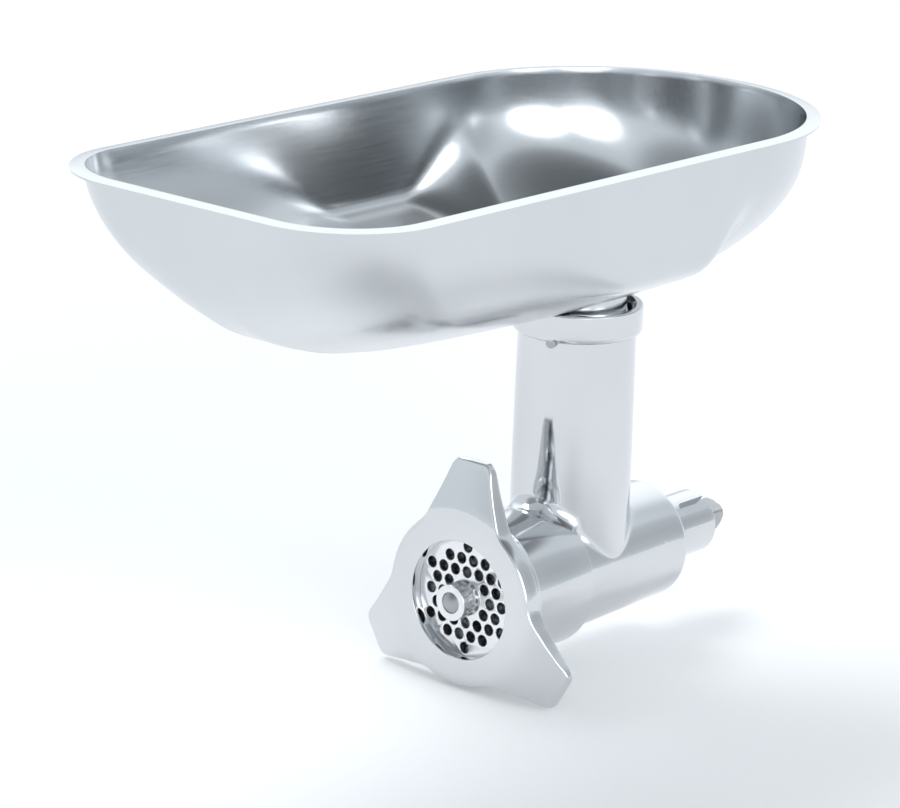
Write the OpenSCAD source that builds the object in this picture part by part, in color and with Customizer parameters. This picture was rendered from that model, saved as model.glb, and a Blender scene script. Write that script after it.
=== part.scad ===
// Grinding head with a deep feed pan, driven through its rear shank.
// The origin is the centre of the shank's root, +Y runs out of the shank, +Z is up.

/* [Barrel] */
// Length of the barrel from the shank's root to its front face
barrel_len = 149.5; // [140:0.5:190]
// Outer radius of the barrel at the shank's root
barrel_rear_r = 33.6; // [33:0.1:40]
// Outer radius of the barrel where it meets the head
barrel_front_r = 35.6; // [34:0.1:42]
// Radius of the worm's chamber
chamber_r = 28; // [22:0.25:29]
// Thickness of the wall at the chamber's rear end
rear_wall = 14; // [12:0.5:20]

/* [Head] */
// Outer radius of the head behind the thread
head_r = 39.7; // [39.5:0.1:46]
// Length of the head from its front face
head_len = 57.5; // [40:0.5:70]
// Diameter of the grinding plate
plate_d = 70; // [60:0.5:70]
// Thickness of the grinding plate
plate_t = 10; // [8:0.5:14]
// Height of the plate's raised hub above its face
plate_hub_h = 13; // [6:0.5:16]
// Radius of one grinding hole
hole_r = 3.2; // [1.5:0.1:3.4]
// Distance between neighbouring grinding holes
hole_pitch = 8.3; // [8:0.1:10]

/* [Lock ring] */
// Thickness of the lip that holds the plate
lip_t = 6.5; // [4:0.25:9]
// How far the ring's lip covers the plate's rim
lip_cover = 2; // [1.5:0.5:6]
// Radius of the ring's flat front face
ring_face_r = 48.5; // [47:0.25:54]
// Depth of the ring from its face to the end of its skirt
ring_depth = 18; // [16:0.25:24]
// Radius of a wing's tip
wing_tip_r = 77; // [66:0.5:90]
// Width of a wing at its tip
wing_tip_w = 26.5; // [16:0.5:32]
// Setback of a wing's tip behind the ring's face
wing_sweep = 8; // [0:0.5:10]
// Pitch of the ring's thread
thread_pitch = 4; // [2:0.5:6]

/* [Feed tube] */
// Distance of the tube's axis in front of the shank's root
tube_back = 67.1; // [60:0.1:80]
// Height of the tube's top above the barrel's axis
tube_h = 146; // [110:0.5:190]
// Outer radius of the tube at its top
tube_top_r = 32.4; // [30:0.1:36]
// Outer radius of the tube at the barrel's axis
tube_foot_r = 33.4; // [33:0.1:38]
// Radius of the tube's bore
tube_bore_r = 27; // [22:0.1:28]

/* [Shank and drive] */
// Radius of the shank
shank_r = 18.2; // [17.5:0.1:24]
// Length of the shank
shank_len = 45; // [40:0.5:60]
// Radius of the worm's rear journal
journal_r = 9.5; // [8:0.1:10]
// Width of the drive tang across its flats
tang_w = 14; // [10:0.5:14]
// Length of the tang behind the shank
tang_len = 20.5; // [12:0.5:30]

/* [Worm] */
// Distance between two turns of the worm's flight
worm_pitch = 32; // [24:1:40]
// Radius of the worm's core at its front
core_front_r = 12; // [11.5:0.5:14]
// Radius of the worm's core at its rear
core_rear_r = 17; // [15:0.5:19]
// Thickness of the knife
knife_t = 8; // [6:0.5:10]
// Radius of the knife's blades
knife_r = 29.5; // [22:0.5:30]

/* [Feed pan] */
// Height of the pan's rim above the tube's top
pan_rise = 109; // [80:1:140]
// Half of the pan's width, without its turned rim
pan_half_w = 105; // [90:0.5:140]
// Distance of the pan's front wall from the tube's axis
pan_front = 301.5; // [240:0.5:380]
// Radius of the pan's front corners
pan_corner = 49; // [20:1:60]
// Distance that the rear half circle's centre lies behind the tube's axis
pan_centre_back = 23.6; // [0:0.1:50]
// Slope of the pan's bottom from its keel to its sides
pan_slope = 0.44; // [0.3:0.01:0.5]
// Thickness of the pan's sheet
sheet_t = 1.2; // [0.8:0.1:3]
// Width of the pan's turned-out rim
rim_w = 7; // [2:0.5:12]
// Depth that the collar ring reaches down over the tube
collar_skirt = 11.5; // [6:0.5:20]
// Depth that the pan's spout reaches into the tube
spout_depth = 24; // [14:1:40]
// Length of the shank's locating slot from its rear end
slot_len = 25; // [10:1:30]
// Width of the shank's locating slot
slot_w = 8; // [6:0.5:10]
// Thickness of the collar ring's wall
collar_wall = 3.1; // [2.5:0.1:5]

/* [Clearances] */
// Radial clearance of a shaft that turns in its bore
running_gap = 0.05; // [0.02:0.01:0.1]
// Radial clearance of pieces that slip over each other by hand
slip_gap = 0.25; // [0.1:0.05:0.5]
// Gap between faces that rub
face_gap = 0.1; // [0.05:0.05:0.2]

/* [Hidden] */
$fn = 96;

// Places along the barrel's axis, from the front backwards
barrel_face_y = -barrel_len;
plate_proud = 3.4;
plate_front_y = barrel_face_y - plate_proud;
plate_back_y = plate_front_y + plate_t;
ring_lip_y = plate_front_y - face_gap;
ring_face_y = ring_lip_y - lip_t;
ring_end_y = ring_face_y + ring_depth;
seat_end_y = plate_back_y + 1;
knife_front_y = plate_back_y + face_gap;
knife_back_y = knife_front_y + knife_t;
knife_room_end_y = knife_back_y + 2;
worm_front_y = knife_back_y;
chamber_end_y = -rear_wall;
washer_t = 3;
washer_back_y = chamber_end_y - face_gap;
worm_rear_y = washer_back_y - washer_t;
seal_t = 5;
bushing_front_y = chamber_end_y + seal_t;
bushing_recess = 2;
journal_end_y = shank_len - 1;
head_end_y = barrel_face_y + head_len;
tube_y = -tube_back;

// Radii that fit one another
plate_r = plate_d / 2;
opening_r = plate_r - lip_cover;
seat_r = plate_r + slip_gap;
nose_r = head_r - 0.7;
ring_bore_r = nose_r + slip_gap;
skirt_r = ring_bore_r + 5.25;
thread_turns = 2;
nose_end_y = barrel_face_y + thread_turns * thread_pitch + 2;
bushing_r = journal_r + 3.5;
bushing_bore_r = journal_r + running_gap;
seal_r = bushing_r + 2;
stud_r = 5.8;
stud_square = 12;
spigot_r = 6;
spigot_len = 28;
stud_proud = 1.6;
plate_hub_r = 10;
plate_hub_y = plate_front_y - plate_hub_h;
key_r = 2.5;
key_y = barrel_face_y + 0.5;
tang_pin_r = 2;
tang_pin_y = shank_len - 17;
flight_r = chamber_r - 0.6;
flight_root_t = 7;
flight_tip_t = 3;
spout_r = tube_bore_r - 0.4;
spout_bore_r = spout_r - sheet_t;
collar_bore_r = tube_top_r + slip_gap;
collar_r = collar_bore_r + collar_wall;
collar_low_z = tube_h - collar_skirt;
collar_web_t = 2.5;
collar_top_z = tube_h + 4.5;
locating_pin_r = 2.9;
locating_pin_angle = -75;
locating_pin_z = collar_low_z - 0.2;
locating_pin_reach = collar_bore_r + 2;
slot_angle = 52;
slot_depth = 4;

// Turned shapes lie along +Y, and flat outlines face -Y with their second axis up
module turned_y() rotate([-90, 0, 0]) rotate_extrude() children();
module rod_y(y, len, r) translate([0, y, 0]) rotate([-90, 0, 0]) cylinder(h=len, r=r);
module plate_y(y, thickness) translate([0, y + thickness, 0]) rotate([90, 0, 0])
    linear_extrude(thickness) children();
module at_tube() translate([0, tube_y, 0]) children();

// ---- Body casting ----

barrel_edge_r = 4;

// Outline of the barrel, the head and the shank, from the front to the rear
module barrel_outline() polygon([
    [0, barrel_face_y], [nose_r - 1, barrel_face_y], [nose_r, barrel_face_y + 1],
    [nose_r, nose_end_y], [head_r, nose_end_y],
    [head_r, head_end_y], [barrel_front_r, head_end_y],
    [barrel_rear_r, -barrel_edge_r],
    for (a = [15:15:75])
        [barrel_rear_r - barrel_edge_r * (1 - cos(a)), -barrel_edge_r * (1 - sin(a))],
    [barrel_rear_r - barrel_edge_r, 0], [shank_r, 0],
    [shank_r, shank_len - 1.5], [shank_r - 1.5, shank_len], [0, shank_len]]);

// Concave flare that joins the tube to the barrel in front and behind
flare_r = 14;
module tube_flare() intersection() {
    rotate_extrude() polygon([
        [tube_bore_r, 0], [tube_foot_r + flare_r, 0],
        for (a = [0:15:90])
            [tube_foot_r + flare_r * (1 - sin(a)), barrel_rear_r + flare_r * (1 - cos(a)) - 2],
        [tube_bore_r, barrel_rear_r + flare_r]]);
    translate([-tube_top_r, -2 * tube_foot_r, 0])
        cube([2 * tube_top_r, 4 * tube_foot_r, 2 * tube_foot_r]);
}

module locating_slot() rotate([0, -slot_angle, 0])
    translate([shank_r - slot_depth, shank_len - slot_len + slot_w / 2, 0]) {
        rotate([0, 90, 0]) cylinder(h=2 * slot_depth, r=slot_w / 2);
        translate([0, 0, -slot_w / 2]) cube([2 * slot_depth, slot_len, slot_w]);
    }

module body_casting() color("gainsboro") difference() {
    union() {
        turned_y() barrel_outline();
        at_tube() cylinder(h=collar_low_z - 1, r1=tube_foot_r, r2=tube_top_r);
        at_tube() cylinder(h=tube_h, r=tube_top_r);
        at_tube() tube_flare();
    }
    rod_y(barrel_face_y - 1, seat_end_y - barrel_face_y + 1, seat_r);
    rod_y(seat_end_y - 1, knife_room_end_y - seat_end_y + 1, knife_r + 1);
    rod_y(knife_room_end_y - 1, chamber_end_y - knife_room_end_y + 1, chamber_r);
    rod_y(chamber_end_y - 1, seal_t + 1, seal_r);
    rod_y(bushing_front_y - 1, shank_len - bushing_front_y + 2, bushing_r);
    at_tube() cylinder(h=tube_h + 1, r=tube_bore_r);
    translate([0, key_y, -plate_r]) rotate([-90, 0, 0])
        cylinder(h=seat_end_y - key_y + 3, r=key_r);
    locating_pin_at() cylinder(h=locating_pin_reach, r=locating_pin_r);
    locating_slot();
}

module plate_key() color("silver") translate([0, key_y, -plate_r]) rotate([-90, 0, 0])
    cylinder(h=seat_end_y - key_y + 3, r=key_r);

module rear_bushing() color("ivory") difference() {
    rod_y(bushing_front_y, shank_len - bushing_recess - bushing_front_y, bushing_r);
    rod_y(bushing_front_y - 1, shank_len + rear_wall, bushing_bore_r);
}

module shaft_seal() color("dimgray") difference() {
    rod_y(chamber_end_y, seal_t, seal_r);
    rod_y(chamber_end_y - 1, seal_t + 2, bushing_bore_r);
}

// The pin's own axis runs outwards from the tube, just under the collar
module locating_pin_at() translate([0, tube_y, locating_pin_z])
    rotate([0, 0, locating_pin_angle]) rotate([0, 90, 0]) children();

module collar_pin() color("darkgray") locating_pin_at()
    translate([0, 0, tube_bore_r + 1])
        cylinder(h=locating_pin_reach - tube_bore_r - 1, r=locating_pin_r);

// ---- Worm and what turns with it ----

flight_start_y = worm_rear_y - flight_root_t;
flight_end_y = worm_front_y + flight_root_t / 2 + 0.5;
flight_steps = 110;

// Radius of the worm's core at a place along its axis
function core_r(y) = core_rear_r + (core_front_r - core_rear_r)
    * (y - worm_rear_y) / (worm_front_y - worm_rear_y);
function on_flight(r, y, turn) = [r * cos(turn), y, r * sin(turn)];
function flight_ring(y, turn) = [
    on_flight(core_r(y) - 2, y - flight_root_t / 2, turn),
    on_flight(flight_r, y - flight_tip_t / 2, turn),
    on_flight(flight_r, y + flight_tip_t / 2, turn),
    on_flight(core_r(y) - 2, y + flight_root_t / 2, turn)];

module flight() {
    points = [for (i = [0:flight_steps])
        let (y = flight_start_y + (flight_end_y - flight_start_y) * i / flight_steps)
        each flight_ring(y, 360 * (y - flight_start_y) / worm_pitch)];
    last = 4 * flight_steps;
    polyhedron(points, [
        [3, 2, 1, 0],
        [last, last + 1, last + 2, last + 3],
        for (i = [0:flight_steps - 1], k = [0:3])
            let (a = 4 * i + k, b = 4 * i + (k + 1) % 4)
            each [[a, b + 4, a + 4], [a, b, b + 4]]]);
}

module worm() color("lightgray") difference() {
    union() {
        turned_y() polygon([
            [0, worm_front_y], [core_front_r, worm_front_y], [core_rear_r, worm_rear_y],
            [journal_r, worm_rear_y], [journal_r, journal_end_y], [0, journal_end_y]]);
        flight();
    }
    rod_y(worm_front_y - 1, spigot_len + 1, spigot_r);
    rod_y(journal_end_y - spigot_len, spigot_len + 1, spigot_r);
    tang_pin_hole();
}

module tang_pin_hole() translate([-journal_r, tang_pin_y, 0]) rotate([0, 90, 0])
    cylinder(h=2 * journal_r, r=tang_pin_r);

module thrust_washer() color("ivory") difference() {
    rod_y(worm_rear_y, washer_t, core_rear_r);
    rod_y(worm_rear_y - 1, washer_t + 2, bushing_bore_r);
}

stud_cap_r = 9;
// The square's corners are turned down to this radius
stud_corner_r = 0.68 * stud_square;
stud_tip_y = plate_hub_y - stud_proud;

module worm_stud() color("silver") {
    rod_y(worm_front_y, spigot_len, spigot_r);
    intersection() {
        translate([-stud_square / 2, knife_front_y, -stud_square / 2])
            cube([stud_square, knife_t, stud_square]);
        rod_y(knife_front_y, knife_t, stud_corner_r);
    }
    intersection() {
        rod_y(stud_tip_y, knife_front_y - stud_tip_y, stud_r);
        union() {
            translate([0, stud_tip_y + stud_cap_r, 0]) sphere(r=stud_cap_r);
            rod_y(stud_tip_y + stud_cap_r, knife_front_y - stud_tip_y, stud_r + 1);
        }
    }
}

tang_turn = 20;

module drive_tang() color("gray") difference() {
    union() {
        rod_y(journal_end_y - spigot_len, spigot_len + tang_len / 2, spigot_r);
        intersection() {
            rotate([0, tang_turn, 0])
                translate([-tang_w / 2, journal_end_y, -tang_w / 2])
                    cube([tang_w, tang_len + 1, tang_w]);
            turned_y() polygon([[0, journal_end_y], [journal_r - 0.1, journal_end_y],
                [journal_r - 0.1, shank_len + tang_len - 2],
                [journal_r - 2, shank_len + tang_len], [0, shank_len + tang_len]]);
        }
    }
    tang_pin_hole();
}

module tang_pin() color("dimgray") translate([-journal_r + 0.2, tang_pin_y, 0])
    rotate([0, 90, 0]) cylinder(h=2 * journal_r - 0.4, r=tang_pin_r);

knife_hub_r = 13;
blade_root_w = 10;
blade_tip_w = 7;

module knife() color("darkgray") plate_y(knife_front_y, knife_t) difference() {
    union() {
        circle(r=knife_hub_r);
        intersection() {
            circle(r=knife_r);
            for (turn = [0:90:270])
                rotate(turn) polygon([
                    [0, -blade_root_w / 2], [knife_r + 1, -blade_tip_w],
                    [knife_r + 1, 0], [knife_hub_r, blade_root_w / 2],
                    [0, blade_root_w / 2]]);
        }
    }
    square(stud_square + 2 * running_gap, center=true);
}

// ---- Plate and lock ring ----

hole_field_r = opening_r - 1.5;
row_step = hole_pitch * sin(60);
rows = ceil(hole_field_r / row_step);

// Centres of the grinding holes, on a triangular pattern round the hub
hole_places = [for (row = [-rows:rows], column = [-rows - 2:rows + 2])
    let (x = (column + (row % 2 == 0 ? 0 : 0.5)) * hole_pitch, z = row * row_step)
    if (norm([x, z]) > plate_hub_r + hole_r + 0.8 && norm([x, z]) < hole_field_r - hole_r + 1)
        [x, z]];

module grinding_plate() color("silver") difference() {
    union() {
        rod_y(plate_front_y, plate_t, plate_r);
        rod_y(plate_hub_y, plate_hub_h + 1, plate_hub_r);
    }
    rod_y(plate_hub_y - 1, plate_hub_h + plate_t + 2, stud_r + running_gap);
    for (place = hole_places)
        translate([place[0], 0, place[1]]) rod_y(plate_front_y - 1, plate_t + 2, hole_r);
    translate([0, key_y - 0.5, -plate_r]) rotate([-90, 0, 0])
        cylinder(h=plate_t + 5, r=key_r + 0.2);
}

wing_root_t = 11;
wing_tip_t = 4.5;
wing_corner = 3;

// A wing's side from the axis outwards, as (out, half width) points
wing_side = [
    [0, 0.5 * ring_face_r], [0.855 * ring_face_r, 0.53 * ring_face_r],
    [ring_face_r + 3.5, 0.8 * wing_tip_w], [ring_face_r + 15, 0.63 * wing_tip_w],
    [wing_tip_r - wing_corner, 0.5 * wing_tip_w],
    [wing_tip_r, 0.5 * wing_tip_w - wing_corner]];

module wing_outline() polygon(concat(
    [for (p = wing_side) [p[0], -p[1]]],
    [for (i = [len(wing_side) - 1:-1:0]) wing_side[i]]));

module wings() intersection() {
    plate_y(ring_face_y, wing_sweep + wing_root_t + wing_tip_t)
        for (turn = [-30, 90, 210]) rotate(turn) wing_outline();
    turned_y() polygon([
        [ring_bore_r + 1, ring_face_y], [ring_face_r, ring_face_y],
        [wing_tip_r + 1, ring_face_y + wing_sweep],
        [wing_tip_r + 1, ring_face_y + wing_sweep + wing_tip_t],
        [skirt_r, ring_face_y + wing_root_t], [ring_bore_r + 1, ring_face_y + wing_root_t]]);
}

module lock_ring() color("gainsboro") {
    turned_y() polygon([
        [opening_r, ring_face_y], [ring_face_r - 1, ring_face_y],
        [ring_face_r, ring_face_y + 1], [ring_face_r, ring_face_y + lip_t],
        [skirt_r, ring_face_y + wing_root_t], [skirt_r, ring_end_y - 1],
        [skirt_r - 1, ring_end_y], [ring_bore_r, ring_end_y],
        [ring_bore_r, ring_lip_y], [opening_r, ring_lip_y]]);
    wings();
}

// ---- Feed pan ----

keel_half_w = 13;
keel_z = collar_top_z;
rim_z = tube_h + pan_rise;
front_keel_rise = 9.4;
rear_keel_rise = 7.5;
front_slope_gain = -0.12;
// How square the wall's section is, along its reach and down its drop: side, corner, front, rear
reach_squareness = [12.3, 6.05, 4.32, 2.16];
drop_squareness = [22, 1.61, 2.79, 3.3];
profile_steps = 15;

function smooth_step(low, high, x) = let (t = min(1, max(0, (x - low) / (high - low))))
    t * t * (3 - 2 * t);
// How far a direction from the tube's axis counts as the pan's rear or its front end
function rear_share(direction) = smooth_step(-15, 14, direction);
function front_share(direction) = smooth_step(-40, -66, direction);
// The front end counts as a corner first, and as the front wall from here on
function end_share(direction) = smooth_step(-70, -85, direction);
function mixed(direction, values) =
    let (r = rear_share(direction), f = front_share(direction), e = end_share(direction))
    1 / ((1 - r - f) / values[0] + f * (1 - e) / values[1] + f * e / values[2]
        + r / values[3]);

// Half of the pan's plan outline, from the front's middle round to the rear's middle
function half_rim(inset) =
    let (half_w = pan_half_w - inset, corner = pan_corner - inset,
        front = pan_front - inset)
    concat(
        [for (i = [0:4]) [(half_w - corner) * i / 5, -front]],
        [for (i = [0:8])
            [half_w - corner + corner * sin(90 * i / 8),
                corner - front - corner * cos(90 * i / 8)]],
        [for (i = [1:12]) [half_w, corner - front + (pan_centre_back + front - corner) * i / 12]],
        [for (i = [1:14])
            [half_w * cos(90 * i / 14), pan_centre_back + half_w * sin(90 * i / 14)]]);

// The trough's height at a point that lies part of the way out to the rim
function trough_z(direction, x, part) = keel_z
    + pan_slope * (1 + front_slope_gain * front_share(direction)) * max(0, x - keel_half_w)
    + (front_keel_rise * front_share(direction) + rear_keel_rise * rear_share(direction)) * part;

// One column of the pan's wall, from the spout's hole up to the rim
function pan_column(rim_point, lift) =
    let (reach = norm(rim_point), direction = atan2(rim_point[1], rim_point[0]),
        reach_n = mixed(direction, reach_squareness),
        drop_n = mixed(direction, drop_squareness),
        rim_trough = trough_z(direction, rim_point[0], 1))
    [for (i = [0:profile_steps])
        let (a = 90 * i / profile_steps, part = pow(sin(a), 2 / reach_n),
            r = spout_r + (reach - spout_r) * part,
            x = rim_point[0] * r / reach)
        [x, rim_point[1] * r / reach, min(rim_z - sheet_t + lift, lift
            + trough_z(direction, x, part)
            + (rim_z - sheet_t - rim_trough) * (1 - pow(cos(a), 2 / drop_n)))]];

function mirrored(points) = [for (p = points) [-p[0], p[1], p[2]]];

module tray_pan() color("lightgray") at_tube() {
    outer_rim = half_rim(0);
    lip_rim = half_rim(-rim_w);
    inner_rim = half_rim(sheet_t);
    last = len(outer_rim) - 1;
    right = [for (i = [0:last]) concat(
        pan_column(outer_rim[i], 0),
        [[lip_rim[i][0], lip_rim[i][1], rim_z - sheet_t], [lip_rim[i][0], lip_rim[i][1], rim_z]],
        [for (k = [profile_steps:-1:0]) pan_column(inner_rim[i], sheet_t)[k]])];
    columns = concat(right, [for (i = [last - 1:-1:1]) mirrored(right[i])]);
    n = len(columns[0]);
    m = len(columns);
    polyhedron([for (c = columns) each c], [
        for (i = [0:m - 1], k = [0:n - 1])
            let (a = i * n + k, b = i * n + (k + 1) % n,
                c = ((i + 1) % m) * n + k, d = ((i + 1) % m) * n + (k + 1) % n)
            each [[a, b, d], [a, d, c]]]);
}

spout_low_z = tube_h - spout_depth;
spout_edge_z = keel_z + sheet_t;

// The spout's top follows the flat keel and the two slopes of the pan's bottom
module tray_spout() color("silver") at_tube() intersection() {
    difference() {
        translate([0, 0, spout_low_z]) cylinder(h=2 * spout_depth, r=spout_r);
        translate([0, 0, spout_low_z - 1]) cylinder(h=2 * spout_depth + 2, r=spout_bore_r);
    }
    translate([0, 2 * spout_r, 0]) rotate([90, 0, 0]) linear_extrude(4 * spout_r) polygon([
        [-2 * spout_r, spout_low_z - 1], [2 * spout_r, spout_low_z - 1],
        [2 * spout_r, spout_edge_z + pan_slope * (2 * spout_r - keel_half_w)],
        [keel_half_w, spout_edge_z], [-keel_half_w, spout_edge_z],
        [-2 * spout_r, spout_edge_z + pan_slope * (2 * spout_r - keel_half_w)]]);
}

collar_edge_r = 3;

module tray_collar() color("gainsboro") difference() {
    at_tube() rotate_extrude() polygon([
        [spout_r, tube_h + face_gap], [collar_bore_r, tube_h + face_gap],
        [collar_bore_r, collar_low_z], [collar_r - collar_edge_r, collar_low_z],
        for (a = [0:15:90])
            [collar_r - collar_edge_r * (1 - sin(a)), collar_low_z + collar_edge_r * (1 - cos(a))],
        [collar_r, collar_top_z - 0.8], [collar_r - 0.8, collar_top_z],
        [collar_r - 4, collar_top_z], [collar_r - 5, tube_h + collar_web_t],
        [spout_r, tube_h + collar_web_t]]);
    locating_pin_at() cylinder(h=locating_pin_reach + 0.3, r=locating_pin_r + slip_gap);
    locating_pin_at() translate([0, -locating_pin_r - slip_gap, 0])
        cube([20, 2 * (locating_pin_r + slip_gap), locating_pin_reach + 0.3]);
}

body_casting();
plate_key();
rear_bushing();
shaft_seal();
collar_pin();
worm();
thrust_washer();
worm_stud();
drive_tang();
tang_pin();
knife();
grinding_plate();
lock_ring();
tray_pan();
tray_spout();
tray_collar();
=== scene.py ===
"""Grinding head with a deep feed pan: polished casting, satin pan, winged lock ring."""

import bpy
import math
from mathutils import Matrix, Vector


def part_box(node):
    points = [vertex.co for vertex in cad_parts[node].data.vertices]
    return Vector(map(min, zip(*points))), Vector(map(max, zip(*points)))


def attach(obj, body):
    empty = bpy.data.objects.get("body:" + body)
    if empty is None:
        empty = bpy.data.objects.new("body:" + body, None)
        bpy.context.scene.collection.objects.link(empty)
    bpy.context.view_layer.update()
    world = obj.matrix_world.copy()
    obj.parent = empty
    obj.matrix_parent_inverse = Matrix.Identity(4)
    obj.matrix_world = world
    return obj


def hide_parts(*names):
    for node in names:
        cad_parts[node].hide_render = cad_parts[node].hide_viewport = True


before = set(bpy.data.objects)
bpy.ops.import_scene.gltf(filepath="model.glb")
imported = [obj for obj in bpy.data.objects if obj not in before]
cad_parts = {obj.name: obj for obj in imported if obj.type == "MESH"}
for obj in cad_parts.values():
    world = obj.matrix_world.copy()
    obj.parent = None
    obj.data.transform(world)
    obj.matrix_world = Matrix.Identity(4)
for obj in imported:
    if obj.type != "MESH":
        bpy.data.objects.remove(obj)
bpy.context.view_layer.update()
MM = 0.001

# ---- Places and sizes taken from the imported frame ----

collar_low, collar_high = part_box("tray_collar")
casting_low, casting_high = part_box("body_casting")
pan_low, pan_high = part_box("tray_pan")
ring_low, ring_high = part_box("lock_ring")
spout_low, spout_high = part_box("tray_spout")

TUBE_Y = (collar_low[1] + collar_high[1]) / 2
TUBE_TOP = casting_high[2]
SHANK_END = casting_high[1]
BARREL_FACE = casting_low[1]
HEAD_R = -casting_low[2]
COLLAR_TOP = collar_high[2]
RING_FACE = ring_low[1]
RING_END = ring_high[1]


# ---- Modelling helpers ----

FLAT_ANGLE = 0.3
EDGE_ANGLE = 35
EDGE_SEGMENTS = 2
# A rounded corner takes at most this share of each side beside it
CORNER_SHARE = 0.45


def quarter_turn(steps, first=0):
    """Angles of a right angle divided into equal steps, from the first one on."""
    return [math.pi / 2 * s / steps for s in range(first, steps + 1)]


def deselect():
    """Leaves nothing selected, so that an operator acts only on what is added next."""
    bpy.ops.object.select_all(action="DESELECT")


def select_only(piece):
    deselect()
    piece.select_set(True)
    bpy.context.view_layer.objects.active = piece


def name_piece(piece, name):
    piece.name = name
    piece.data.name = name
    return piece


def apply_modifiers(piece):
    select_only(piece)
    for modifier in list(piece.modifiers):
        bpy.ops.object.modifier_apply(modifier=modifier.name)


def in_edit_mode(piece, *steps):
    """Runs each step in edit mode with the whole mesh selected."""
    select_only(piece)
    bpy.ops.object.mode_set(mode="EDIT")
    for step in steps:
        bpy.ops.mesh.select_all(action="SELECT")
        step()
    bpy.ops.object.mode_set(mode="OBJECT")


def merge_doubles(distance=0.02 * MM):
    """A step that merges corners closer together than the distance."""
    return lambda: bpy.ops.mesh.remove_doubles(threshold=distance)


def merge_flat_faces():
    bpy.ops.mesh.dissolve_limited(angle_limit=math.radians(FLAT_ANGLE))


def close_ends():
    bpy.ops.mesh.fill_holes(sides=0)


def face_outwards():
    bpy.ops.mesh.normals_make_consistent(inside=False)


def grid_piece(name, columns, rows, place):
    """A grid whose corner (i, k) goes to place(i, k), with i up to columns and k up to rows."""
    deselect()
    bpy.ops.mesh.primitive_grid_add(x_subdivisions=columns, y_subdivisions=rows, size=2)
    piece = bpy.context.active_object
    for vertex in piece.data.vertices:
        i = round((vertex.co.x + 1) / 2 * columns)
        k = round((vertex.co.y + 1) / 2 * rows)
        vertex.co = place(i, k)
    return name_piece(piece, name)


def join(name, *pieces):
    deselect()
    for piece in pieces:
        piece.select_set(True)
    bpy.context.view_layer.objects.active = pieces[0]
    bpy.ops.object.join()
    return name_piece(pieces[0], name)


def smooth(piece, angle):
    """Shades a piece smooth, apart from edges sharper than the angle in degrees."""
    select_only(piece)
    bpy.ops.object.shade_smooth_by_angle(angle=math.radians(angle))


def cut(piece, *tools):
    """Takes the tools' solids out of a piece and removes the tools."""
    for tool in tools:
        modifier = piece.modifiers.new("cut", "BOOLEAN")
        modifier.operation = "DIFFERENCE"
        modifier.solver = "EXACT"
        modifier.object = tool
        apply_modifiers(piece)
        bpy.data.objects.remove(tool)


def turned(name, outline, steps, along="Y", centre=(0, 0)):
    """A closed outline of (radius, height) points, turned about an axis through centre."""
    count = len(outline)

    def place(i, k):
        radius, height = outline[k % count]
        a = 2 * math.pi * i / steps
        if along == "Y":
            return Vector((radius * math.sin(a), height, radius * math.cos(a)))
        return Vector((centre[0] + radius * math.cos(a), centre[1] + radius * math.sin(a), height))

    piece = grid_piece(name, steps, count, place)
    in_edit_mode(piece, merge_doubles(), face_outwards)
    return piece


def rounded(outline, radius, steps=4):
    """The closed outline with each corner rounded, as far as its sides allow."""
    points = []
    count = len(outline)
    for n in range(count):
        here = Vector(outline[n])
        before = Vector(outline[n - 1]) - here
        after = Vector(outline[(n + 1) % count]) - here
        if before.length < 1e-9 or after.length < 1e-9:
            continue
        reach = min(radius, before.length * CORNER_SHARE, after.length * CORNER_SHARE)
        start = here + before.normalized() * reach
        end = here + after.normalized() * reach
        for s in range(steps + 1):
            t = s / steps
            points.append(tuple((1 - t) ** 2 * start + 2 * t * (1 - t) * here + t * t * end))
    return points


def smooth_step(low, high, x):
    t = min(1.0, max(0.0, (x - low) / (high - low)))
    return t * t * (3 - 2 * t)


def softened_copy(node, name, width):
    """A copy of a CAD node with its loose triangles merged and its sharp edges eased."""
    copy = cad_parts[node].copy()
    copy.data = copy.data.copy()
    bpy.context.scene.collection.objects.link(copy)
    copy.parent = None
    copy.matrix_world = Matrix.Identity(4)
    for key in list(copy.keys()):
        del copy[key]
    copy.data.materials.clear()
    name_piece(copy, name)
    in_edit_mode(copy, merge_doubles(0.002 * MM), merge_flat_faces)
    bevel = copy.modifiers.new("edge", "BEVEL")
    bevel.width = width
    bevel.segments = EDGE_SEGMENTS
    bevel.limit_method = "ANGLE"
    bevel.angle_limit = math.radians(EDGE_ANGLE)
    bevel.use_clamp_overlap = True
    bevel.harden_normals = False
    apply_modifiers(copy)
    smooth(copy, EDGE_ANGLE)
    return copy


# ---- Materials ----

# A noise pattern's values lie mostly between these two
NOISE_LOW, NOISE_HIGH = 0.3, 0.7
METAL_CLOUDS = 14
MOULDED_CLOUDS = 60
METAL_RELIEF = 0.2 * MM
MOULDED_RELIEF = 0.3 * MM
MOULDED_BUMP = 0.1


def new_material(name):
    material = bpy.data.materials.new(name)
    material.use_nodes = True
    nodes = material.node_tree.nodes
    return material, nodes, material.node_tree.links, nodes["Principled BSDF"]


def grain(nodes, links, scale, stretch, detail):
    """A noise pattern on Object coordinates, stretched along the way the metal was worked."""
    coordinates = nodes.new("ShaderNodeTexCoord")
    mapping = nodes.new("ShaderNodeMapping")
    mapping.inputs["Scale"].default_value = stretch
    noise = nodes.new("ShaderNodeTexNoise")
    noise.inputs["Scale"].default_value = scale
    noise.inputs["Detail"].default_value = detail
    links.new(coordinates.outputs["Object"], mapping.inputs["Vector"])
    links.new(mapping.outputs["Vector"], noise.inputs["Vector"])
    return noise.outputs["Fac"]


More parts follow.
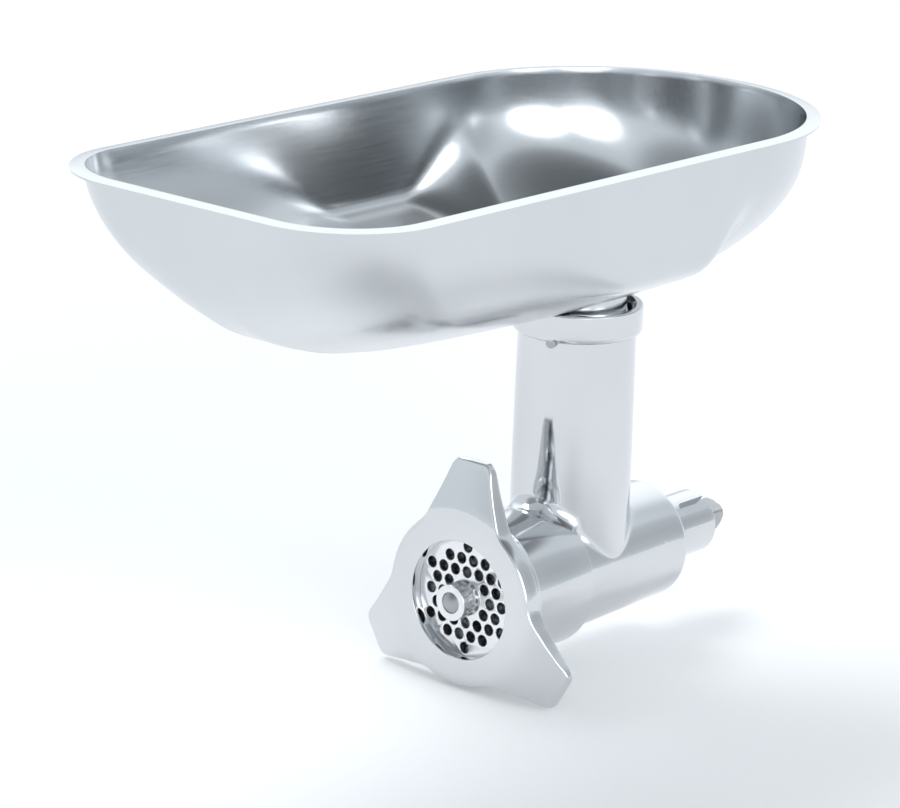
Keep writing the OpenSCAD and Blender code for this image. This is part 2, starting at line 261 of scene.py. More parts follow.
def ranged(nodes, links, value, low, high):
    """Maps a noise value onto a range."""
    node = nodes.new("ShaderNodeMapRange")
    node.inputs["From Min"].default_value = NOISE_LOW
    node.inputs["From Max"].default_value = NOISE_HIGH
    node.inputs["To Min"].default_value = low
    node.inputs["To Max"].default_value = high
    links.new(value, node.inputs["Value"])
    return node.outputs["Result"]


def shaded_colour(nodes, links, value, dark, light):
    """Maps a noise value onto a range of colours."""
    ramp = nodes.new("ShaderNodeValToRGB")
    ramp.color_ramp.elements[0].position = NOISE_LOW
    ramp.color_ramp.elements[0].color = (*dark, 1)
    ramp.color_ramp.elements[1].position = NOISE_HIGH
    ramp.color_ramp.elements[1].color = (*light, 1)
    links.new(value, ramp.inputs["Fac"])
    return ramp.outputs["Color"]


def add_relief(nodes, links, shader, height, strength, depth):
    relief = nodes.new("ShaderNodeBump")
    relief.inputs["Strength"].default_value = strength
    relief.inputs["Distance"].default_value = depth
    links.new(height, relief.inputs["Height"])
    links.new(relief.outputs["Normal"], shader.inputs["Normal"])


def steel(name, dark, light, rough_low, rough_high, scale, stretch, bump):
    """Worked stainless steel: cloudy colour, fine directional grain, varied roughness."""
    material, nodes, links, shader = new_material(name)
    shader.inputs["Metallic"].default_value = 1.0
    cloudy = grain(nodes, links, METAL_CLOUDS, (1, 1, 1), 4.0)
    links.new(shaded_colour(nodes, links, cloudy, dark, light), shader.inputs["Base Color"])
    lines = grain(nodes, links, scale, stretch, 2.0)
    links.new(ranged(nodes, links, lines, rough_low, rough_high), shader.inputs["Roughness"])
    add_relief(nodes, links, shader, lines, bump, METAL_RELIEF)
    return material


def moulded(name, dark, light, rough_low, rough_high):
    """A moulded material, such as nylon or rubber, with a faint cloudy surface."""
    material, nodes, links, shader = new_material(name)
    cloudy = grain(nodes, links, MOULDED_CLOUDS, (1, 1, 1), 4.0)
    links.new(shaded_colour(nodes, links, cloudy, dark, light), shader.inputs["Base Color"])
    links.new(ranged(nodes, links, cloudy, rough_low, rough_high), shader.inputs["Roughness"])
    add_relief(nodes, links, shader, cloudy, MOULDED_BUMP, MOULDED_RELIEF)
    return material


POLISHED = steel("polished_casting", (0.64, 0.65, 0.665), (0.68, 0.69, 0.70), 0.07, 0.11,
                 300, (1, 1, 1), 0.004)
SATIN_SHEET = steel("satin_sheet", (0.62, 0.635, 0.65), (0.65, 0.665, 0.68), 0.17, 0.22,
                    900, (1, 0.03, 1), 0.004)
GROUND = steel("ground_plate", (0.74, 0.75, 0.76), (0.83, 0.83, 0.84), 0.16, 0.26,
               500, (1, 1, 0.08), 0.03)
CAST_WORM = steel("cast_worm", (0.56, 0.57, 0.58), (0.66, 0.67, 0.68), 0.25, 0.4,
                  200, (1, 1, 1), 0.08)
HARD_STEEL = steel("hardened_steel", (0.34, 0.35, 0.36), (0.44, 0.45, 0.46), 0.26, 0.38,
                   400, (1, 0.2, 1), 0.05)
NYLON = moulded("nylon_bushing", (0.78, 0.77, 0.72), (0.84, 0.83, 0.79), 0.4, 0.5)
RUBBER = moulded("seal_rubber", (0.02, 0.02, 0.02), (0.035, 0.035, 0.035), 0.55, 0.7)


def dress(piece, material):
    piece.data.materials.clear()
    piece.data.materials.append(material)


def finish_piece(piece, body, material, slot, *nodes):
    dress(piece, material)
    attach(piece, body)
    if nodes:
        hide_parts(*nodes)


# ---- Feed pan ----

PAN_SHEET = 1.2 * MM
PAN_FLANGE = 7 * MM
FLANGE_DROP = 1.0 * MM
PAN_CORNER = 49 * MM
PAN_HOLE_R = (spout_high[0] - spout_low[0]) / 2
PAN_KEEL_HALF = 13 * MM
PAN_SLOPE = 0.44
FRONT_SLOPE_GAIN = -0.12
FRONT_KEEL_RISE = 9.4 * MM
REAR_KEEL_RISE = 7.5 * MM
# How square the wall's section is, at the side, a corner, the front and the rear
REACH_SQUARENESS = (12.3, 6.05, 4.32, 2.16)
DROP_SQUARENESS = (22, 1.61, 2.79, 3.3)
PAN_HALF_W = pan_high[0] - PAN_FLANGE
PAN_FRONT = TUBE_Y - pan_low[1] - PAN_FLANGE
PAN_CENTRE_BACK = pan_high[1] - TUBE_Y - PAN_FLANGE - PAN_HALF_W
PAN_RIM = pan_high[2]
PAN_KEEL = COLLAR_TOP
# Only faces this low in the pan tell which way its sheet faces
BOTTOM_BAND = 30 * MM
# Directions from the tube's axis, in degrees from straight across towards the rear, over which
# the wall's section changes to the rear's, to the front corner's and to the front end's
REAR_CHANGE = (-15, 14)
FRONT_CHANGE = (-40, -66)
END_CHANGE = (-70, -85)
# Columns of the wall along half of the front, a corner, a side and half of the round rear
FRONT_COLUMNS, CORNER_COLUMNS, RIM_SIDE_COLUMNS, REAR_COLUMNS = 12, 24, 54, 60


def rim_points(grow):
    """Half of the pan's plan outline about the tube's axis, from the front to the rear."""
    half_w, corner, front = PAN_HALF_W + grow, PAN_CORNER + grow, PAN_FRONT + grow
    points = [((half_w - corner) * i / FRONT_COLUMNS, -front) for i in range(FRONT_COLUMNS)]
    for a in quarter_turn(CORNER_COLUMNS)[:-1]:
        points.append((half_w - corner + corner * math.sin(a),
                       corner - front - corner * math.cos(a)))
    side = PAN_CENTRE_BACK + front - corner
    points += [(half_w, corner - front + side * i / RIM_SIDE_COLUMNS)
               for i in range(RIM_SIDE_COLUMNS)]
    for a in quarter_turn(REAR_COLUMNS):
        points.append((half_w * math.cos(a), PAN_CENTRE_BACK + half_w * math.sin(a)))
    return points


def pan_point(rim_point, part_angle):
    """A point of the pan's wall: 0 at the spout's hole and a right angle at the rim."""
    x, y = rim_point
    reach = math.hypot(x, y)
    direction = math.degrees(math.atan2(y, abs(x)))
    rear = smooth_step(*REAR_CHANGE, direction)
    front = smooth_step(*FRONT_CHANGE, direction)
    end = smooth_step(*END_CHANGE, direction)
    shares = (1 - rear - front, front * (1 - end), front * end, rear)
    reach_n = 1 / sum(share / n for share, n in zip(shares, REACH_SQUARENESS))
    drop_n = 1 / sum(share / n for share, n in zip(shares, DROP_SQUARENESS))
    part = math.sin(part_angle) ** (2 / reach_n)
    left = math.cos(part_angle)
    drop = 1 - (left ** (2 / drop_n) if left > 1e-9 else 0.0)

    def trough(across, share):
        """The bottom's height this far from the middle line, at a share of the way to the rim."""
        slope = PAN_SLOPE * (1 + FRONT_SLOPE_GAIN * front)
        return (PAN_KEEL + slope * max(0.0, across - PAN_KEEL_HALF)
                + (FRONT_KEEL_RISE * front + REAR_KEEL_RISE * rear) * share)

    r = PAN_HOLE_R + (reach - PAN_HOLE_R) * part
    low = trough(abs(x) * r / reach, part)
    high = PAN_RIM - PAN_SHEET
    z = low + (high - trough(abs(x), 1)) * drop
    return Vector((x * r / reach, TUBE_Y + y * r / reach, min(high, z)))


def spread_evenly(points, count):
    """The polyline through points, divided again into count equal lengths."""
    lengths = [0.0]
    for p, q in zip(points, points[1:]):
        lengths.append(lengths[-1] + (q - p).length)
    even, n = [], 0
    for i in range(count + 1):
        want = lengths[-1] * i / count
        while n < len(points) - 2 and lengths[n + 1] < want:
            n += 1
        step = max(1e-9, lengths[n + 1] - lengths[n])
        even.append(points[n].lerp(points[n + 1], min(1.0, (want - lengths[n]) / step)))
    return even


WALL_ROWS = 104
FLANGE_ROWS = 3
WALL_SAMPLES = 240
# Parts of a right angle, close together at both ends, where the wall's shape is steepest
WALL_PARTS = [4 * t ** 3 if t < 0.5 else 1 - 4 * (1 - t) ** 3
              for t in (i / WALL_SAMPLES for i in range(WALL_SAMPLES + 1))]


def wall_column(rim_point):
    """The wall's outer surface from the hole to one point of the rim, in even rows."""
    return spread_evenly([pan_point(rim_point, math.pi / 2 * t) for t in WALL_PARTS], WALL_ROWS)


def make_pan():
    """The pan's outer surface with its flange, as an open sheet."""
    half, grown = rim_points(0), rim_points(1)
    columns = []
    for rim_point, outer_point in zip(half, grown):
        column = wall_column(rim_point)
        out = Vector((outer_point[0] - rim_point[0], outer_point[1] - rim_point[1], 0))
        edge = out * PAN_FLANGE - Vector((0, 0, FLANGE_DROP))
        column += [column[-1] + edge * (k / FLANGE_ROWS) for k in range(1, FLANGE_ROWS + 1)]
        columns.append(column)
    columns += [[Vector((-p.x, p.y, p.z)) for p in column] for column in columns[-2:0:-1]]
    count = len(columns)
    pan = grid_piece("feed_pan", count, WALL_ROWS + FLANGE_ROWS,
                     lambda i, k: columns[i % count][k])
    in_edit_mode(pan, merge_doubles(0.01 * MM), face_outwards)
    return pan


pan = make_pan()
bottom_faces = [p for p in pan.data.polygons if p.center.z < PAN_KEEL + BOTTOM_BAND]
faces_up = sum(p.normal.z for p in bottom_faces) > 0
# The sheet's thickness grows inwards
wall = pan.modifiers.new("wall", "SOLIDIFY")
wall.thickness = PAN_SHEET
wall.offset = 1.0 if faces_up else -1.0
wall.use_even_offset = False
apply_modifiers(pan)
in_edit_mode(pan, face_outwards)
smooth(pan, 50)
finish_piece(pan, "tray", SATIN_SHEET, "sheet", "tray_pan")


# ---- Body casting: barrel, tube and shank with a rolled fillet between them ----

TUBE_TOP_R = 32.4 * MM
TUBE_FOOT_R = 33.4 * MM
TUBE_STRAIGHT = collar_low[2] - 1 * MM
BARREL_REAR_R = 33.6 * MM
BARREL_FRONT_R = 35.6 * MM
HEAD_REAR = -92 * MM
SEAT_END = -141.9 * MM
FILLET_R = 8.5 * MM
PATCH_ANGLE = 105
PATCH_FRONT = SEAT_END
PATCH_REAR = -4 * MM
PATCH_COLUMNS = 84
PATCH_ROWS = 56
TUBE_ROWS = 16
FILLET_ROWS = 12
# The tube narrows by this much where the fillet starts
FILLET_SINK = 0.3 * MM
# Rows between the fillet and the patch's border, as shares of the way
PATCH_FADES = (0.03, 0.08, 0.16, 0.26, 0.38, 0.52, 0.68, 0.84, 1.0)
# Over this share of the way, a fillet that lands on the wider head comes down to the barrel
HEAD_FADE = 0.2
HEAD_BLEND = 3 * MM
SHANK_R = 18.2 * MM
SHOULDER_EDGE = 4 * MM
SHANK_ROOT = 1.2 * MM
SHANK_EDGE = 1.2 * MM


def barrel_radius(y):
    share = (y - HEAD_REAR) / (PATCH_REAR - HEAD_REAR)
    return BARREL_FRONT_R + (BARREL_REAR_R - BARREL_FRONT_R) * min(1.0, max(0.0, share))


def tube_radius(z):
    share = min(1.0, max(0.0, z / TUBE_STRAIGHT))
    return TUBE_FOOT_R + (TUBE_TOP_R - TUBE_FOOT_R) * share


def on_barrel(radius, angle, y):
    """A point at an angle in degrees from the top, towards +X."""
    a = math.radians(angle)
    return Vector((radius * math.sin(a), y, radius * math.cos(a)))


def patch_border():
    """The rectangle round the tube's foot, as (angle, y), from its rear side clockwise."""
    angles = [PATCH_ANGLE * (2 * i / PATCH_COLUMNS - 1) for i in range(PATCH_COLUMNS + 1)]
    places = [PATCH_REAR + (PATCH_FRONT - PATCH_REAR) * i / PATCH_ROWS
              for i in range(PATCH_ROWS + 1)]
    border = [(a, PATCH_REAR) for a in angles[:-1]]
    border += [(PATCH_ANGLE, y) for y in places[:-1]]
    border += [(a, PATCH_FRONT) for a in reversed(angles[1:])]
    border += [(-PATCH_ANGLE, y) for y in reversed(places[1:])]
    return border


def fillet_centre(turn):
    """The rolling ball's centre for one direction round the tube's axis, and its base radius."""
    y = TUBE_Y + (TUBE_FOOT_R + FILLET_R) * math.sin(turn)
    on_head = smooth_step(HEAD_REAR, HEAD_REAR - HEAD_BLEND, y)
    base = barrel_radius(y) + (HEAD_R - barrel_radius(y)) * on_head
    foot = TUBE_FOOT_R - FILLET_SINK
    x = (foot + FILLET_R) * math.cos(turn)
    z = math.sqrt(max(1e-9, (base + FILLET_R) ** 2 - x * x))
    return Vector((x, TUBE_Y + (foot + FILLET_R) * math.sin(turn), z)), base


def make_casting_skin():
    """The tube, its fillet and the barrel as one skin, with the rear face and the shank."""
    border = patch_border()
    count = len(border)
    turns = []
    for angle, y in border:
        across = math.radians(angle) * BARREL_REAR_R
        turns.append(math.atan2(y - TUBE_Y, across))

    def place(i, k):
        turn = turns[i % count]
        centre, base = fillet_centre(turn)
        out = Vector((math.cos(turn), math.sin(turn), 0))
        if k < TUBE_ROWS:
            z = TUBE_TOP + (centre.z - TUBE_TOP) * k / TUBE_ROWS
            blend = smooth_step(0, 1, k / TUBE_ROWS)
            r = tube_radius(z) * (1 - blend) + (TUBE_FOOT_R - FILLET_SINK) * blend
            return Vector((0, TUBE_Y, z)) + out * r
        down = Vector((centre.x, 0, centre.z)).normalized()
        landing = centre - down * FILLET_R
        if k <= TUBE_ROWS + FILLET_ROWS:
            share = (k - TUBE_ROWS) / FILLET_ROWS
            from_tube = -out
            to_barrel = -down
            span = from_tube.angle(to_barrel)
            mixed = (from_tube * math.sin((1 - share) * span)
                     + to_barrel * math.sin(share * span)) / math.sin(span)
            return centre + mixed * FILLET_R
        fade = PATCH_FADES[k - TUBE_ROWS - FILLET_ROWS - 1]
        angle_0 = math.degrees(math.atan2(landing.x, landing.z))
        angle_1, y_1 = border[i % count]
        angle = angle_0 + (angle_1 - angle_0) * fade
        y = landing.y + (y_1 - landing.y) * fade
        lift = (base - barrel_radius(landing.y)) * max(0.0, 1 - fade / HEAD_FADE)
        return on_barrel(barrel_radius(y) + lift, angle, y)

    upper = grid_piece("upper", count, TUBE_ROWS + FILLET_ROWS + len(PATCH_FADES), place)

    lower_columns = round((360 - 2 * PATCH_ANGLE) / (2 * PATCH_ANGLE) * PATCH_COLUMNS)

    def place_lower(i, k):
        angle = PATCH_ANGLE + (360 - 2 * PATCH_ANGLE) * i / lower_columns
        y = PATCH_REAR + (PATCH_FRONT - PATCH_REAR) * k / PATCH_ROWS
        return on_barrel(barrel_radius(y), angle, y)

    lower = grid_piece("lower", lower_columns, PATCH_ROWS, place_lower)

    shoulder_turns = [math.radians(a) for a in range(0, 91, 10)]
    shank_turns = [math.radians(a) for a in range(0, 91, 15)]
    rear_profile = [(BARREL_REAR_R - SHOULDER_EDGE * (1 - math.cos(a)),
                     -SHOULDER_EDGE * (1 - math.sin(a))) for a in shoulder_turns]
    rear_profile += [(SHANK_R + SHANK_ROOT * (1 - math.sin(a)),
                      SHANK_ROOT * (1 - math.cos(a))) for a in shank_turns]
    rear_profile += [(SHANK_R, SHANK_END * s) for s in (0.15, 0.3, 0.45, 0.6, 0.75, 0.9)]
    rear_profile += [(SHANK_R - SHANK_EDGE * (1 - math.cos(a)),
                      SHANK_END - SHANK_EDGE * (1 - math.sin(a))) for a in shank_turns]
    ring_columns = PATCH_COLUMNS + lower_columns

    def place_rear(i, k):
        angle = -PATCH_ANGLE + 360 * i / ring_columns
        radius, y = rear_profile[k]
        return on_barrel(radius, angle, y)

    rear = grid_piece("rear", ring_columns, len(rear_profile) - 1, place_rear)
    skin = join("casting", upper, lower, rear)
    in_edit_mode(skin, merge_doubles(0.03 * MM), close_ends, face_outwards)
    return skin


casting = make_casting_skin()
# The bores run past the casting's ends by this much, and the tube's bore past its top
BORE_OVERRUN = 2 * MM
TOP_OVERRUN = 3 * MM
BORE_STEPS = 128
CHAMBER_R = 28 * MM
KNIFE_ROOM_R = 30.5 * MM
KNIFE_ROOM_END = -132.8 * MM
CHAMBER_END = -14 * MM
SEAL_R = 15 * MM
BUSHING_R = 13 * MM
BUSHING_FRONT = -9 * MM
TUBE_BORE_R = 27 * MM
bore_front = SEAT_END - BORE_OVERRUN
bore_rear = SHANK_END + BORE_OVERRUN
bores = turned("bores", [
    (0, bore_front), (KNIFE_ROOM_R, bore_front), (KNIFE_ROOM_R, KNIFE_ROOM_END),
    (CHAMBER_R, KNIFE_ROOM_END), (CHAMBER_R, CHAMBER_END), (SEAL_R, CHAMBER_END),
    (SEAL_R, BUSHING_FRONT), (BUSHING_R, BUSHING_FRONT), (BUSHING_R, bore_rear),
    (0, bore_rear)], BORE_STEPS)
bore_top = TUBE_TOP + TOP_OVERRUN
tube_bore = turned("tube_bore", [(0, 0), (TUBE_BORE_R, 0), (TUBE_BORE_R, bore_top), (0, bore_top)],
                   BORE_STEPS, "Z", (0, TUBE_Y))
cut(casting, bores, tube_bore)

# The slot's front end is round, and it runs out of the shank's rear end
SLOT_ANGLE = 38
SLOT_W = 8 * MM
SLOT_START = SHANK_END - 25 * MM
SLOT_FLOOR = 14.2 * MM
SLOT_TOOL_DEPTH = 10 * MM
SLOT_TOOL_LENGTH = 30 * MM
SLOT_TOOL_SIDES = 48


def make_slot_tool():
    deselect()
    bpy.ops.mesh.primitive_cylinder_add(vertices=SLOT_TOOL_SIDES, radius=SLOT_W / 2,
                                        depth=SLOT_TOOL_DEPTH)
    tool = bpy.context.active_object
    for vertex in tool.data.vertices:
        x, y, z = vertex.co
        if y > 1e-6:
            y += SLOT_TOOL_LENGTH
        vertex.co = (x, SLOT_START + SLOT_W / 2 + y, z + SLOT_FLOOR + SLOT_TOOL_DEPTH / 2)
    tool.data.transform(Matrix.Rotation(math.radians(SLOT_ANGLE), 4, "Y"))
    return name_piece(tool, "slot_tool")


cut(casting, make_slot_tool())

NOSE_R = HEAD_R - 0.7 * MM
NOSE_END = BARREL_FACE + 10 * MM
SEAT_R = 35.25 * MM
HEAD_WALL_R = 33.2 * MM
HEAD_EDGE = 0.5 * MM
HEAD_STEPS = 192
head = turned("head", rounded([
    (SEAT_R, BARREL_FACE), (NOSE_R, BARREL_FACE), (NOSE_R, NOSE_END), (HEAD_R, NOSE_END),
    (HEAD_R, HEAD_REAR), (HEAD_WALL_R, HEAD_REAR), (HEAD_WALL_R, SEAT_END),
    (SEAT_R, SEAT_END)], HEAD_EDGE), HEAD_STEPS)
casting = join("casting", casting, head)
smooth(casting, 34)
finish_piece(casting, "housing", POLISHED, "casting", "body_casting")


# ---- Lock ring ----

OPENING_R = 33 * MM
RING_FACE_R = 48.5 * MM
WING_TIP_R = 77 * MM
WING_SWEEP = 8 * MM
LIP = 6.5 * MM
THREAD_GAP = 0.25 * MM
SKIRT_WALL = 5.25 * MM
RING_BORE_R = NOSE_R + THREAD_GAP
SKIRT_R = RING_BORE_R + SKIRT_WALL
WING_ROOT_T = 11 * MM
WING_TIP_T = 4.5 * MM
# Half of a wing's outline in millimetres, from its tip inwards: (from its middle, from the axis)
WING_SIDE = [(10.4, 77), (13.2, 74), (16.7, 63.5), (21.2, 52), (25.7, 41.4)]
WING_TIP_ANGLE = math.degrees(math.atan2(*WING_SIDE[0]))
WING_TURNS = (0, 120, 240)
# A ray may miss a side of the outline by this share of its length and still count as meeting it
SIDE_SLACK = 0.02
RING_EDGE = 1.3 * MM
# Each rounding of the outer edge is at most the wing's thickness over this
EDGE_FIT = 2.2
OPENING_EDGE = 0.6 * MM
SKIRT_EDGE = 1 * MM
BORE_EDGE = 0.5 * MM
SKIRT_STEP = 0.5 * MM
LIP_STEP = 1 * MM
# The flat face turns into the wings' slope over this much on each side of its edge
FACE_BLEND = 4 * MM
RING_STEPS = 540
FACE_ROWS = 14
BACK_ROWS = 8
TIP_EASING = 3
ROOT_EASING = 70
# Degrees from a wing's middle between which the wide easing takes over from the tight one
ROOT_CHANGE = (18, 25)


def wing_side_radius(angle):
    """Where a ray at this many degrees from a wing's middle leaves the wing's outline."""
    a = math.radians(angle)
    if angle < WING_TIP_ANGLE:
        return WING_TIP_R / math.cos(a)
    direction = Vector((math.sin(a), math.cos(a)))
    inside = None
    for (x0, y0), (x1, y1) in zip(WING_SIDE, WING_SIDE[1:]):
        p, q = Vector((x0, y0)) * MM, Vector((x1, y1)) * MM
        side = q - p
        cross = direction.x * side.y - direction.y * side.x
        if abs(cross) < 1e-12:
            continue
        t = (p.x * side.y - p.y * side.x) / cross
        s = (p.x * direction.y - p.y * direction.x) / cross
        if -SIDE_SLACK <= s <= 1 + SIDE_SLACK:
            inside = t if inside is None else min(inside, t)
    return inside if inside is not None else RING_FACE_R


def ring_outline_radius(angle):
    """The ring's outer radius at an angle in degrees from the top wing."""
    from_wing = min(abs((angle - turn + 180) % 360 - 180) for turn in WING_TURNS)
    return max(RING_FACE_R, wing_side_radius(from_wing))


def eased(radii, passes):
    """The ring's radii, each averaged with its two neighbours as many times as passes says."""
    for _ in range(passes):
        radii = [(radii[i - 1] + 2 * radii[i] + radii[(i + 1) % RING_STEPS]) / 4
                 for i in range(RING_STEPS)]
    return radii


# The tips' corners are tight, and the wings run into the round face in a wide curve
sharp_radii = [ring_outline_radius(360 * i / RING_STEPS) for i in range(RING_STEPS)]
tip_radii, root_radii = eased(sharp_radii, TIP_EASING), eased(sharp_radii, ROOT_EASING)
outer_radii = []
for i in range(RING_STEPS):
    from_wing = abs((360 * i / RING_STEPS + 60) % 120 - 60)
    at_root = smooth_step(*ROOT_CHANGE, from_wing)
    outer_radii.append(tip_radii[i] * (1 - at_root) + root_radii[i] * at_root)


def ring_front(r):
    """The y of the ring's front at a radius: a flat face, and wings that sweep back."""
    over = r - RING_FACE_R
    slope = WING_SWEEP / (WING_TIP_R - RING_FACE_R)
    if over <= -FACE_BLEND:
        return RING_FACE
    if over >= FACE_BLEND:
        return RING_FACE + slope * over
    return RING_FACE + slope * (over + FACE_BLEND) ** 2 / (4 * FACE_BLEND)


def ring_back(r):
    """The y of the wings' back at a radius: the wings grow thinner towards their tips."""
    share = min(1.0, max(0.0, (r - SKIRT_R) / (WING_TIP_R - SKIRT_R)))
    root = RING_FACE + WING_ROOT_T
    tip = RING_FACE + WING_SWEEP + WING_TIP_T
    return root + (tip - root) * share


def ring_profile(outer):
    """The ring's section at one angle, as (radius, y) points round a closed loop."""
    points = [(OPENING_R + OPENING_EDGE * (1 - math.cos(a)),
               RING_FACE + OPENING_EDGE * (1 - math.sin(a))) for a in quarter_turn(4)]
    inner = OPENING_R + OPENING_EDGE
    rim = outer - RING_EDGE
    for s in range(1, FACE_ROWS + 1):
        r = inner + (rim - inner) * s / FACE_ROWS
        points.append((r, ring_front(r)))
    front, back = ring_front(rim), ring_back(outer)
    half = min(RING_EDGE, (back - front) / EDGE_FIT)
    points += [(rim + RING_EDGE * math.sin(a), front + half * (1 - math.cos(a)))
               for a in quarter_turn(4, 1)]
    points += [(rim + RING_EDGE * math.cos(a), back - half * (1 - math.sin(a)))
               for a in quarter_turn(4)]
    for s in range(1, BACK_ROWS + 1):
        r = rim + (SKIRT_R - rim) * s / BACK_ROWS
        points.append((r, ring_back(r)))
    skirt_rear = RING_END - SKIRT_EDGE
    points += [(SKIRT_R, RING_FACE + WING_ROOT_T + SKIRT_STEP), (SKIRT_R, skirt_rear)]
    points += [(SKIRT_R - SKIRT_EDGE * (1 - math.cos(a)),
                RING_END - SKIRT_EDGE * (1 - math.sin(a))) for a in quarter_turn(3, 1)]
    lip_back = RING_FACE + LIP
    points += [(RING_BORE_R + BORE_EDGE, RING_END), (RING_BORE_R, RING_END - BORE_EDGE),
               (RING_BORE_R, lip_back), (OPENING_R, lip_back), (OPENING_R, lip_back - LIP_STEP)]
    return points


profiles = [ring_profile(r) for r in outer_radii]
profile_count = len(profiles[0])


def place_ring(i, k):
    r, y = profiles[i % RING_STEPS][k % profile_count]
    a = 2 * math.pi * i / RING_STEPS
    return Vector((r * math.sin(a), y, r * math.cos(a)))


lock_ring = grid_piece("winged_ring", RING_STEPS, profile_count, place_ring)
in_edit_mode(lock_ring, merge_doubles(0.005 * MM), face_outwards)
smooth(lock_ring, 40)
finish_piece(lock_ring, "ring", POLISHED, "casting", "lock_ring")


# ---- Pieces that keep their CAD shape ----

# Copied with their sharp edges eased by this many millimetres
EASED = [
    ("tray_collar", "pan_collar", 0.25, "tray", POLISHED, "casting"),
    ("grinding_plate", "drilled_plate", 0.3, "plate", GROUND, "plate"),
    ("worm_stud", "front_stud", 0.35, "worm_set", HARD_STEEL, "hard_steel"),
    ("drive_tang", "rear_tang", 0.8, "worm_set", HARD_STEEL, "hard_steel"),
    ("knife", "cutting_knife", 0.25, "worm_set", HARD_STEEL, "hard_steel"),
]
for node, name, width, body, material, slot_name in EASED:
    finish_piece(softened_copy(node, name, width * MM), body, material, slot_name, node)

# Shown just as they are
KEPT = {
    "plate_key": HARD_STEEL, "collar_pin": HARD_STEEL, "tang_pin": HARD_STEEL,
    "worm": CAST_WORM, "tray_spout": SATIN_SHEET,
    "rear_bushing": NYLON, "thrust_washer": NYLON, "shaft_seal": RUBBER,
}
for node, material in KEPT.items():
    dress(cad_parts[node], material)


# ---- Studio ----

FLOOR_DROP = 2 * MM
FLOOR_SIZE = 30
floor_z = min(ring_low[2], casting_low[2]) - FLOOR_DROP
deselect()
bpy.ops.mesh.primitive_plane_add(size=FLOOR_SIZE, location=(0, 0, floor_z))
floor = name_piece(bpy.context.active_object, "floor")
floor_material, _, _, floor_shader = new_material("floor_paper")
floor_shader.inputs["Base Color"].default_value = (0.93, 0.93, 0.935, 1)
floor_shader.inputs["Roughness"].default_value = 0.9
floor_shader.inputs["Specular IOR Level"].default_value = 0.0
# The paper is lit from below as well, as a product table is
floor_shader.inputs["Emission Color"].default_value = (1, 1, 1, 1)
floor_shader.inputs["Emission Strength"].default_value = 0.1
dress(floor, floor_material)

world = bpy.data.worlds.new("studio")
bpy.context.scene.world = world
world.use_nodes = True
sky_nodes = world.node_tree.nodes
sky_links = world.node_tree.links
sky_place = sky_nodes.new("ShaderNodeTexCoord")
# The room's light is a little cool
GLOW_TINT = (0.965, 0.985, 1.0)


def towards(azimuth, elevation):
    """A unit vector at an azimuth from +X towards +Y and an elevation, in degrees."""
    a, e = math.radians(azimuth), math.radians(elevation)
    return (math.cos(a) * math.cos(e), math.sin(a) * math.cos(e), math.sin(e))


def glow_around(azimuth, elevation, levels):
    """Studio brightness round one direction: (degrees away, brightness) pairs, nearest first."""
    facing = sky_nodes.new("ShaderNodeVectorMath")
    facing.operation = "DOT_PRODUCT"
    facing.inputs[1].default_value = towards(azimuth, elevation)
    ramp = sky_nodes.new("ShaderNodeValToRGB")
    ramp.color_ramp.interpolation = "EASE"
    places = [(max(0.0, math.cos(math.radians(away))), glow) for away, glow in reversed(levels)]
    while len(ramp.color_ramp.elements) < len(places):
        ramp.color_ramp.elements.new(0.5)
    for element, (place, glow) in zip(ramp.color_ramp.elements, places):
        element.position = place
        element.color = (*(glow * part for part in GLOW_TINT), 1)
    sky_links.new(sky_place.outputs["Generated"], facing.inputs[0])
    sky_links.new(facing.outputs["Value"], ramp.inputs["Fac"])
    return ramp.outputs["Color"]


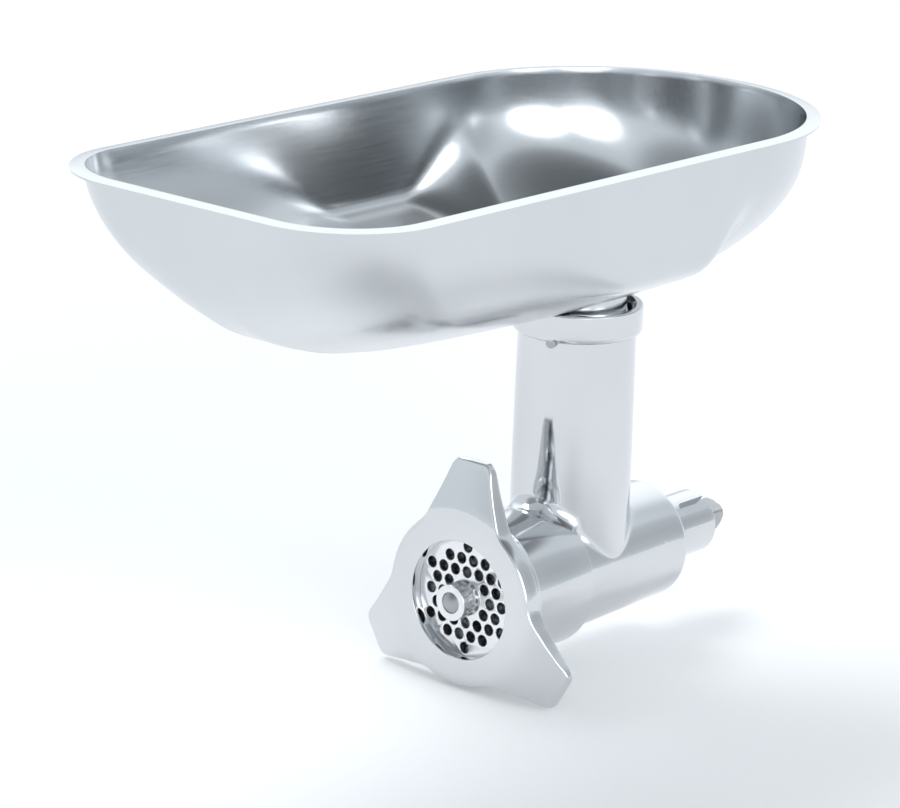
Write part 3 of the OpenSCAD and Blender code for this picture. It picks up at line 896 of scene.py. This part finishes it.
def combined(operation, first, second):
    """Adds or multiplies two brightness maps."""
    result = sky_nodes.new("ShaderNodeVectorMath")
    result.operation = operation
    sky_links.new(first, result.inputs[0])
    sky_links.new(second, result.inputs[1])
    return result.outputs["Vector"]


# A pale room that is dark high up behind the pan and dimmer to one side, in a gap beside the
# windows and low at the rear. Two windows, a soft sheet at the rear and a high lamp light it
pale_walls = glow_around(60, 77, ((0, 0.17), (22, 0.20), (33, 0.34), (40, 0.88), (56, 0.96)))
dim_side = glow_around(-108, 44, ((0, 0.40), (26, 0.45), (42, 1.0)))
dim_gap = glow_around(50, 17, ((0, 0.66), (9, 0.72), (20, 1.0)))
dim_skirting = glow_around(134, -2, ((0, 0.5), (11, 0.6), (20, 1.0)))
near_window = glow_around(2, 19, ((0, 3.0), (12, 2.6), (20, 0.0)))
far_window = glow_around(-33, 17, ((0, 3.0), (12, 2.6), (20, 0.0)))
rear_sheet = glow_around(128, 34, ((0, 0.60), (16, 0.55), (42, 0.0)))
high_lamp = glow_around(172, 56, ((0, 6.0), (11, 5.5), (17, 0.0)))
dims = combined("MULTIPLY", dim_side, combined("MULTIPLY", dim_gap, dim_skirting))
dimmed_walls = combined("MULTIPLY", pale_walls, dims)
windows = combined("ADD", near_window, combined("ADD", far_window, rear_sheet))
room = combined("ADD", dimmed_walls, combined("ADD", windows, high_lamp))
sky_links.new(room, sky_nodes["Background"].inputs["Color"])

CAMERA_PLACE = Vector((1.3533, -1.7582, 0.7225))
CAMERA_LOOK = Vector((-0.62287, 0.73022, -0.28074))
CAMERA_ROLL = 1.969
CAMERA_LENS = 164.52
camera_data = bpy.data.cameras.new("camera")
camera_data.lens = CAMERA_LENS
camera_data.sensor_width = 36
camera_data.clip_end = 100
camera = bpy.data.objects.new("camera", camera_data)
bpy.context.scene.collection.objects.link(camera)
camera.matrix_world = (Matrix.Translation(CAMERA_PLACE)
                       @ CAMERA_LOOK.to_track_quat("-Z", "Y").to_matrix().to_4x4()
                       @ Matrix.Rotation(math.radians(CAMERA_ROLL), 4, "Z"))
bpy.context.scene.camera = camera
bpy.context.scene.view_settings.view_transform = "Standard"
